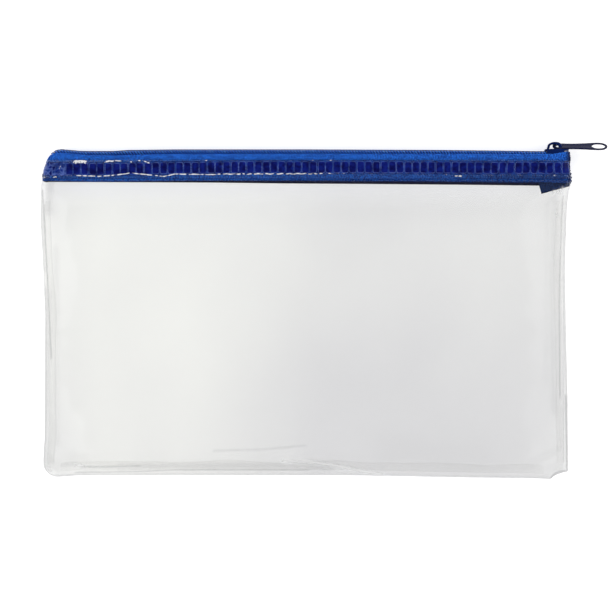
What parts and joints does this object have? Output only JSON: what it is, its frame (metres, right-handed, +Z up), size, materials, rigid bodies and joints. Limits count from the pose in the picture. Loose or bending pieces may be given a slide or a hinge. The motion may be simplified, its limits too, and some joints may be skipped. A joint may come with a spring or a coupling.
{
  "type": "zipped clear vinyl deposit bag",
  "caption": "Flat clear vinyl pouch with a woven-tape coil zip along its top edge, a metal slider with a long pull tab, and welded turned-in side and bottom seams.",
  "frame": {"origin": "on the underside of the back panel where the bag lies on a table, midway along the zip and midway between the bottom seam and the zip", "axes": "+X along the zip towards its closed end, +Y from the bottom seam to the zip, +Z up from the table through the back panel to the front panel"},
  "size_m": [0.2595, 0.155, 0.0112],
  "materials": {
    "clear_vinyl": "glossy, see-through, faintly grey",
    "zip_weave": "fine royal blue weave",
    "zip_nylon": "satin dark blue nylon",
    "zip_thread": "twisted blue polyester",
    "slider_paint": "semi-gloss navy paint, rubbed at the edges"
  },
  "bodies": {
    "bag_back": {"back_panel": "clear_vinyl", "left_seam_allowance": "clear_vinyl", "right_seam_allowance": "clear_vinyl", "bottom_seam_allowance": "clear_vinyl", "back_tape": "zip_weave", "back_coil": "zip_nylon", "back_coil_cord": "zip_thread", "back_coil_stitching": "zip_thread", "tape_tail": "zip_weave"},
    "front_lip": {"front_panel": "clear_vinyl", "front_tape": "zip_weave", "front_coil": "zip_nylon", "front_coil_cord": "zip_thread", "front_coil_stitching": "zip_thread"},
    "slider": {"slider_body": "slider_paint"},
    "pull": {"pull_tab": "slider_paint"}
  },
  "joints": [
    {"name": "slider_slide", "type": "slide", "parent": "bag_back", "child": "slider", "axis": [1, 0, 0], "range_m": [-0.21, 0], "deforming": ["back_tape", "back_coil", "back_coil_cord", "back_coil_stitching"]},
    {"name": "pull_tab_swing", "type": "hinge", "parent": "slider", "child": "pull", "pos_m": [0.1144, 0.077, 0.0056], "axis": [0, 0, 1], "range_deg": [0, 180]},
    {"name": "mouth_open", "type": "hinge", "parent": "bag_back", "child": "front_lip", "pos_m": [0, -0.0754, 0.002], "axis": [1, 0, 0], "range_deg": [0, 12.1], "deforming": ["front_tape", "front_coil", "front_coil_cord", "front_coil_stitching"]}
  ],
  "couplings": [
    {"joint": "mouth_open", "follows": "slider_slide", "rad_per_m": -0.9973}
  ]
}
